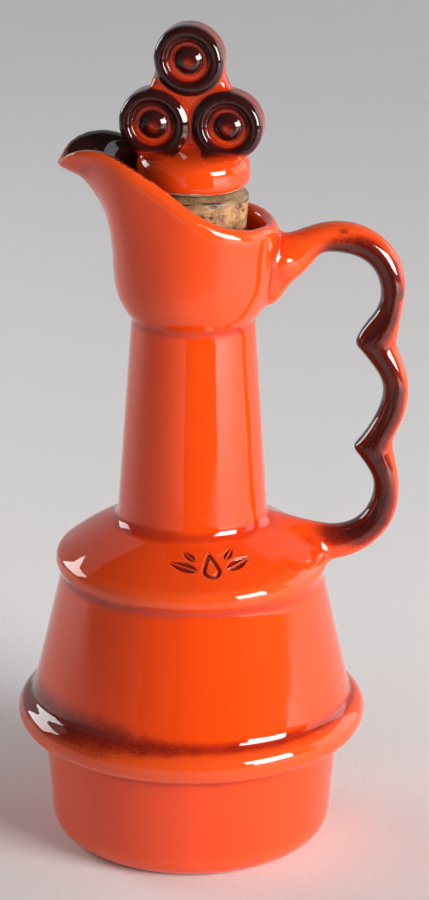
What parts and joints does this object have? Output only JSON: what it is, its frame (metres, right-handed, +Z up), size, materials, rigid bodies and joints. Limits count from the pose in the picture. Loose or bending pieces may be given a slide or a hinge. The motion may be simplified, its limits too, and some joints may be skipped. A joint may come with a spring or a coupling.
{
  "type": "oil cruet",
  "caption": "Glazed ceramic oil cruet with a beaded conical belly, tall neck, flared spout, scalloped finger handle and a knob stopper on a cork.",
  "frame": {"origin": "centre of the foot ring, on the plane that the cruet stands on", "axes": "+Z up along the body's axis, -X towards the spout, +X towards the handle, -Y towards the viewer of the picture"},
  "size_m": [0.0951, 0.086, 0.2047],
  "materials": {
    "body_glaze": "glossy orange-red glaze with dark brown overspray",
    "knob_glaze": "glossy red glaze with dark brown overspray",
    "cork": "natural cork with lenticels, oil-stained band at the top"
  },
  "bodies": {
    "cruet": {"cruet_body": "body_glaze"},
    "stopper": {"stopper_knob": "knob_glaze", "stopper_cork": "cork"}
  },
  "joints": [
    {"name": "stopper_pull", "type": "slide", "parent": "cruet", "child": "stopper", "axis": [0, 0, 1], "range_m": [0, 0.07]}
  ]
}
